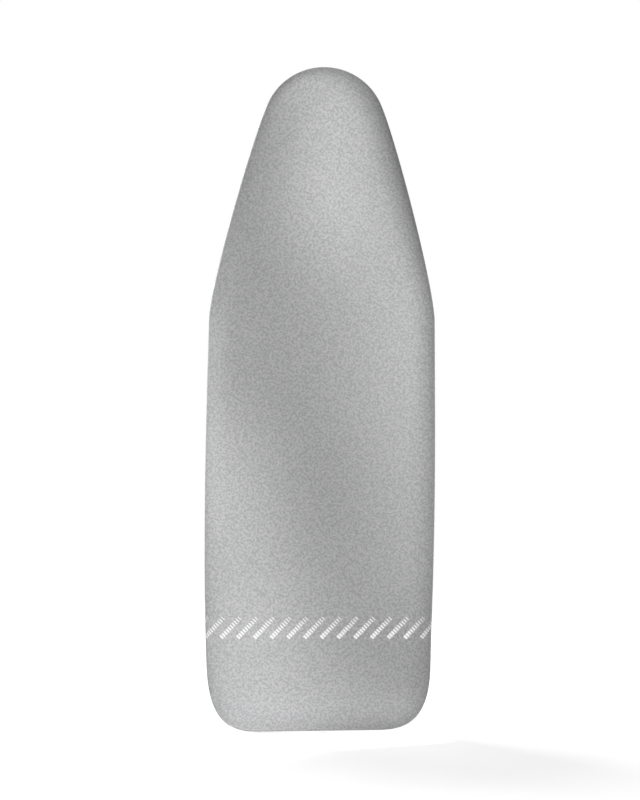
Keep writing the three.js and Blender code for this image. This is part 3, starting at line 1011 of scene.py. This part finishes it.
def rounded(profile, radius, steps=4):
    """A profile with its corners rounded, by no more than a share of either side."""
    points = np.array(profile)
    t = np.linspace(0, 1, steps)[:, None]
    out = [points[:1]]
    for before, here, after in zip(points, points[1:], points[2:]):
        into, off = before - here, after - here
        reach = min(radius, *(MOST_ROUNDED * np.linalg.norm(side) for side in (into, off)))
        start, end = here + unit(into) * reach, here + unit(off) * reach
        out.append((1 - t) ** 2 * start + 2 * (1 - t) * t * here + t**2 * end)
    return np.concatenate([*out, points[-1:]])


# The lock's own frame: the tails run along Z at its origin, and the button points to -X
BUTTON_TRAVEL = 0.003
BUTTON_FOOT = 0.0018
BUTTON_RADIUS = 0.0057
BUTTON_PROUD = 0.0045
BUTTON_RIM = 0.0014
BUTTON_DISH = 0.0005
BUTTON_DISH_SLOPE = 0.0008
BUTTON_ROUNDING = 0.0008
BUTTON_ROUNDING_STEPS = 6
BARREL_RADIUS = 0.0084
BARREL_LENGTH = 0.0195
BARREL_FLOOR = 0.0016
BARREL_CHAMFER = 0.0012
BARREL_ROUNDING = 0.0004
GRIP_COUNT = 3
GRIP_PITCH = 0.0022
GRIP_WIDTH = 0.0012
GRIP_DEPTH = 0.0005
GRIP_SLOPE = 0.0003
SLOT_CORNER_STEPS = 10
SLOT_RIM = 0.00018
SLOT_RIM_ANGLE = math.radians(50)
COLLAR_WIDTH = 0.0026
BORE_RADIUS = BUTTON_RADIUS + GAP
SLOT_EDGE = CORD_RADIUS + GAP
BARREL_OPEN = -(SLOT_EDGE + BUTTON_TRAVEL + BUTTON_FOOT + BARREL_CHAMFER / 2)
BARREL_CLOSED = BARREL_OPEN + BARREL_LENGTH
BUTTON_TOP = BARREL_OPEN - BUTTON_PROUD
BUTTON_BOTTOM = SLOT_EDGE + BUTTON_FOOT
LOCK_PLACE = Vector((0, LOCK_Y, LOCK_REST))


def slot_cutter(start, end):
    """A tall slot with round corners, along Z, for both tails."""
    radius = SLOT_EDGE
    low, high, side = start + radius, end - radius, TAIL_SPACING / 2
    corners = ((low, -side, 2), (high, -side, 3), (high, side, 0), (low, side, 1))
    rim = [
        (x + radius * math.cos(angle), y + radius * math.sin(angle))
        for x, y, quarter in corners
        for angle in quarter * math.pi / 2 + np.linspace(0, math.pi / 2, SLOT_CORNER_STEPS)
    ]
    reach = 2 * COLLAR_RADIUS
    points = [(x, y, z) for z in (-reach, reach) for x, y in rim]
    return linked("slot_cutter", mesh_of("slot_cutter", points, capped_loft(2, len(rim))))


def cut_slot(mesh, start, end):
    """The mesh with a slot cut through it, its rim softened, moved to the lock's place."""
    name = mesh.name
    thing = linked("cutting", mesh)
    cutter = slot_cutter(start, end)
    cutting = thing.modifiers.new("slot", "BOOLEAN")
    cutting.operation = "DIFFERENCE"
    cutting.solver = "EXACT"
    cutting.object = cutter
    soft = thing.modifiers.new("soft_rim", "BEVEL")
    soft.width = SLOT_RIM
    soft.segments = 2
    soft.limit_method = "ANGLE"
    soft.angle_limit = SLOT_RIM_ANGLE
    graph = bpy.context.evaluated_depsgraph_get()
    made = bpy.data.meshes.new_from_object(thing.evaluated_get(graph))
    bpy.data.objects.remove(thing)
    bpy.data.objects.remove(cutter)
    made.name = name
    made.transform(Matrix.Translation(LOCK_PLACE))
    return made


def lock_body(material):
    """The barrel, with grip rings round it and a collar at its mouth."""
    profile = [(BARREL_CLOSED, 0.0), (BARREL_CLOSED, BARREL_RADIUS - BARREL_CHAMFER),
               (BARREL_CLOSED - BARREL_CHAMFER, BARREL_RADIUS)]
    grip = BARREL_CLOSED - BARREL_CHAMFER - GRIP_WIDTH
    groove = BARREL_RADIUS - GRIP_DEPTH
    for _ in range(GRIP_COUNT):
        grip_end = grip - GRIP_WIDTH
        profile += [(grip, BARREL_RADIUS), (grip - GRIP_SLOPE, groove),
                    (grip_end + GRIP_SLOPE, groove), (grip_end, BARREL_RADIUS)]
        grip -= GRIP_PITCH
    collar, inner_end = BARREL_OPEN + COLLAR_WIDTH, BARREL_CLOSED - BARREL_FLOOR
    profile += [(collar, BARREL_RADIUS), (collar, COLLAR_RADIUS), (BARREL_OPEN, COLLAR_RADIUS),
                (BARREL_OPEN, BORE_RADIUS), (inner_end, BORE_RADIUS), (inner_end, 0.0)]
    mesh = lathe("lock_barrel", rounded(profile, BARREL_ROUNDING), "X")
    mesh = cut_slot(mesh, -SLOT_EDGE, SLOT_EDGE + BUTTON_FOOT)
    piece = new_object("lock_barrel", mesh, "lock", [material])
    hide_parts("lock_body")


def lock_button(material):
    """The push button, with a dished top and a slot for both tails."""
    rim, dish = BUTTON_RADIUS - BUTTON_RIM, BUTTON_TOP + BUTTON_DISH
    profile = [
        (BUTTON_BOTTOM, 0.0), (BUTTON_BOTTOM, BUTTON_RADIUS), (BUTTON_TOP, BUTTON_RADIUS),
        (BUTTON_TOP, rim), (dish, rim - BUTTON_DISH_SLOPE), (dish, 0.0),
    ]
    mesh = lathe("lock_button", rounded(profile, BUTTON_ROUNDING, BUTTON_ROUNDING_STEPS), "X")
    mesh = cut_slot(mesh, -SLOT_EDGE - BUTTON_TRAVEL, SLOT_EDGE)
    piece = new_object("lock_button", mesh, "button", [material])
    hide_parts("lock_plunger")


SPRING_WIRE = 0.00035
SPRING_COIL = 0.0036
SPRING_TURNS = 4
SPRING_STEPS = 24
SPRING_SIDES = 10


def lock_spring(material):
    start = BUTTON_BOTTOM + GAP + SPRING_WIRE
    end = BARREL_CLOSED - BARREL_FLOOR - GAP - SPRING_WIRE
    t = np.linspace(0, 1, SPRING_TURNS * SPRING_STEPS + 1)
    angle = 2 * math.pi * SPRING_TURNS * t
    x = start + (end - start) * t
    route = np.stack([x, SPRING_COIL * np.cos(angle), SPRING_COIL * np.sin(angle)], 1)
    mesh = tube_mesh("lock_coil", route + np.array(LOCK_PLACE), SPRING_WIRE, SPRING_SIDES)
    piece = new_object("lock_coil", mesh, "lock", [material])
    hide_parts("lock_spring")
    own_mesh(piece)


BELL_TOP_RADIUS = 0.0052
BELL_MOUTH_RADIUS = 0.0070
BELL_WALL = 0.0014
BELL_LIP = 0.0014
BELL_LIP_STEP = 0.0004
BELL_RING = 0.0002
BELL_RING_SHARES = (0.9, 0.7, 0.5)
BELL_ROUNDING = 0.0005


def bell(material):
    """The bell over the knot, with a neck ring and a lip round its mouth."""
    neck, top, mouth = TAIL_SPACING / 2 + SLOT_EDGE, BELL_TOP_RADIUS, BELL_MOUTH_RADIUS
    inner_top = max(KNOT_RADIUS + GAP, top - BELL_WALL)
    low, mid, high = (-BELL_SHOULDER * share for share in BELL_RING_SHARES)
    lip = -BELL_LENGTH + BELL_LIP
    profile = [
        (0.0, neck), (-BELL_SHOULDER, neck), (-BELL_SHOULDER, inner_top),
        (-BELL_LENGTH, mouth - BELL_WALL), (-BELL_LENGTH, mouth), (lip, mouth),
        (lip + BELL_LIP_STEP, mouth - BELL_LIP_STEP), (low, top + BELL_RING),
        (mid, top - BELL_RING), (high, top), (0.0, top), (0.0, neck),
    ]
    mesh = lathe("cord_bell", rounded(profile, BELL_ROUNDING), "Z")
    mesh.transform(Matrix.Translation((0, LOCK_Y, BELL_TOP)))
    piece = new_object("cord_bell", mesh, "cover", [material])
    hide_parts("cord_end")


KNOT_STEPS = 90
KNOT_SPREAD = 0.325
KNOT_DEPTH = 0.7
KNOT_SQUEEZE = 0.92
KNOT_SIDES = 12


def knot(material):
    """The knot of both tails inside the bell, as three crossing turns of cord."""
    t = np.linspace(0, 2 * math.pi, KNOT_STEPS, endpoint=False)
    route = (KNOT_RADIUS - CORD_RADIUS) * np.stack([
        KNOT_SPREAD * (np.sin(t) + 2 * np.sin(2 * t)),
        KNOT_SPREAD * (np.cos(t) - 2 * np.cos(2 * t)),
        -KNOT_DEPTH * np.sin(3 * t),
    ], 1)
    route = np.concatenate([route, route[:2]]) + [0, LOCK_Y, KNOT_HEIGHT]
    mesh = tube_mesh("cord_knot", route, CORD_RADIUS * KNOT_SQUEEZE, KNOT_SIDES)
    new_object("cord_knot", mesh, "cover", [material])


LABEL_COLUMNS = 12
LABEL_ROWS = 24


def care_label(material):
    """The blank ribbon label that hangs from under the binding."""
    top = TAIL_SKIRT - LEAF + LABEL_OVERLAP - HALF_LENGTH
    leaf = HEM_PLANE + CLOTH / 2 + GAP + TAPE + GAP + LABEL_LIFT
    down, across = LABEL_WAVE_WAYS
    share = np.repeat(np.linspace(0, 1, LABEL_ROWS + 1), LABEL_COLUMNS + 1)
    side = np.tile(np.linspace(0, 1, LABEL_COLUMNS + 1), LABEL_ROWS + 1)
    cup = LABEL_CUP * np.cos(2 * math.pi * (side - 0.5))
    ripple = LABEL_WAVE * np.sin(down * share + across * side)
    y = leaf + LABEL_CURL * share**2 + (cup + ripple) * share
    places = np.stack([LABEL_WIDTH * side, LABEL_LENGTH * share], 1)
    points = np.stack([LABEL_OFFSET + places[:, 0], y, top - places[:, 1]], 1)
    faces = loft_faces(LABEL_ROWS + 1, LABEL_COLUMNS + 1, closed=False)
    mesh = mesh_of("blank_label", points, faces, places)
    piece = new_object("blank_label", mesh, "cover", [material])
    piece.modifiers.new("ribbon", "SOLIDIFY").thickness = LABEL_THICKNESS
    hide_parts("care_label")


# Camera, as the photo sees the cover: square on, a slight turn of the picture
LENS = 100.0
SENSOR = 36.0
IMAGE_HEIGHT = 800
IMAGE_MIDDLE = (320, 400)
PIXEL = 0.0018224
PICTURE_TURN = 0.0115
OBJECT_PIXEL = (320.98, 398.57)
FARTHEST_SEEN = 100


def add_camera():
    data = bpy.data.cameras.new("camera")
    data.lens = LENS
    data.sensor_width = SENSOR
    data.clip_end = FARTHEST_SEEN
    camera = linked("camera", data)
    x, z = ((middle - seen) * PIXEL for middle, seen in zip(IMAGE_MIDDLE, OBJECT_PIXEL))
    camera.location = (x, -IMAGE_HEIGHT * PIXEL * LENS / SENSOR, -z)
    upright = Matrix.Rotation(math.pi / 2, 3, "X")
    camera.rotation_euler = (upright @ Matrix.Rotation(PICTURE_TURN, 3, "Z")).to_euler()
    bpy.context.scene.camera = camera


def area_light(name, place, target, size, power, spread=180):
    data = bpy.data.lights.new(name, "AREA")
    data.shape = "RECTANGLE"
    data.size, data.size_y = size
    data.energy = power
    data.spread = math.radians(spread)
    lamp = linked(name, data)
    way = Vector(target) - Vector(place)
    lamp.rotation_euler = way.to_track_quat("-Z", "Y").to_euler()
    lamp.location = place
    lamp.visible_camera = False


WHITE = (1, 1, 1, 1)
WORLD_LEVEL = 0.10


def white_rays(tree):
    """1 for the rays that see the background, 0 for those that light the object."""
    rays = value(tree, "ShaderNodeLightPath").outputs
    seen = math_node(tree, "MAXIMUM", rays["Is Camera Ray"], rays["Is Glossy Ray"])
    return math_node(tree, "MAXIMUM", seen, rays["Is Transmission Ray"])


def studio():
    world = bpy.data.worlds.new("studio")
    bpy.context.scene.world = world
    world.use_nodes = True
    tree = world.node_tree
    tree.nodes.clear()
    light, seen = (
        value(tree, "ShaderNodeBackground", inputs={"Color": WHITE, "Strength": level}).outputs[0]
        for level in (WORLD_LEVEL, 1.0)
    )
    mixed = value(tree, "ShaderNodeMixShader", inputs=[white_rays(tree), light, seen])
    value(tree, "ShaderNodeOutputWorld", inputs=[mixed.outputs[0]])


FLOOR_SIZE = 14.0
FLOOR_DROP = 0.0062
FLOOR_COLOUR = (0.8, 0.8, 0.8, 1)
FLOOR_GLOW_NEAR = 0.70
FLOOR_GLOW_FAR = 0.92
FLOOR_NEAR = 0.30
FLOOR_FAR = 0.95


def floor():
    """A pale floor under the tail, which keeps the cover's shadow."""
    half = FLOOR_SIZE / 2
    height = CAD_LOW.z - FLOOR_DROP
    corners = [(x * half, y * half, height) for x, y in ((-1, -1), (1, -1), (1, 1), (-1, 1))]
    mesh = bpy.data.meshes.new("floor")
    mesh.from_pydata(corners, [], [(0, 1, 2, 3)])
    material, tree = new_material("pale_floor")
    tree.nodes.clear()
    matt = value(tree, "ShaderNodeBsdfDiffuse", inputs={"Color": FLOOR_COLOUR})
    ends = [object_place(tree), (0, 0, height)]
    away = value(tree, "ShaderNodeVectorMath", "DISTANCE", ends).outputs["Value"]
    level = value(tree, "ShaderNodeMapRange", interpolation_type="SMOOTHSTEP", inputs={
        "Value": away, "From Min": FLOOR_NEAR, "From Max": FLOOR_FAR,
        "To Min": FLOOR_GLOW_NEAR, "To Max": FLOOR_GLOW_FAR,
    }).outputs["Result"]
    strength = math_node(tree, "MULTIPLY", white_rays(tree), level)
    glow = value(tree, "ShaderNodeEmission", inputs={"Color": WHITE, "Strength": strength})
    both = value(tree, "ShaderNodeAddShader", inputs=[matt.outputs[0], glow.outputs[0]])
    value(tree, "ShaderNodeOutputMaterial", inputs=[both.outputs[0]])
    mesh.materials.append(material)
    linked("floor", mesh)


# Lamps behind: name, place, size and power. They point at the cover's middle
BACK_LAMPS = (
    ("back_key", (-1.2, 1.4, 0.9), 0.8, 24.0),
    ("back_fill", (1.4, 1.6, -0.1), 1.0, 9.0),
)

# Lamps in front: name, place, x and z that they point at, size, spread and power
FRONT_LAMPS = (
    ("nose_left", (-0.24, -0.45, 0.70), (0.06, 0.41), (0.15, 0.33), 28, 0.155),
    ("nose_top", (0.03, -0.35, 0.68), (-0.03, 0.44), (0.15, 0.41), 45, 0.042),
    ("right_side", (0.22, -0.70, 0.04), (0.20, -0.18), (0.15, 0.77), 54, 0.561),
    ("left_high", (-0.27, -0.51, 0.45), (-0.14, -0.53), (0.15, 0.29), 25, 0.498),
    ("left_low", (-0.55, -0.42, -0.46), (0.01, 0.55), (0.36, 0.34), 62, 1.516),
    ("middle_low", (-0.05, -0.80, -0.52), (-0.05, -0.20), (0.40, 0.10), 60, 0.052),
    ("tail_low", (0.10, -0.16, -0.59), (0.02, -0.60), (0.30, 0.02), 150, 0.066),
)


def lights():
    for name, place, (x, z), size, spread, power in FRONT_LAMPS:
        area_light(name, place, (x, 0, z), size, power, spread)
    for name, place, size, power in BACK_LAMPS:
        area_light(name, place, (0, 0, 0), (size, size), power)


def build():
    braid, plastic = braided_cord(), moulded_plastic()
    pad("foam_layer", lambda y: y * FELT_SHARE - GAP, lambda y: y, pale_foam(), "foam_pad")
    pad("felt_layer", lambda y: 0.0, lambda y: y * FELT_SHARE, needle_felt(), "felt_pad")
    hem_tape(twill_tape())
    hem_stitches(sewing_thread())
    top_cover(silver_cloth(), cotton_back())
    draw_cord(braid)
    knot(braid)
    lock_body(plastic)
    lock_button(plastic)
    lock_spring(spring_wire())
    bell(plastic)
    care_label(label_ribbon())


bpy.context.scene.view_settings.view_transform = "Standard"
add_camera()
studio()
lights()
floor()
build()
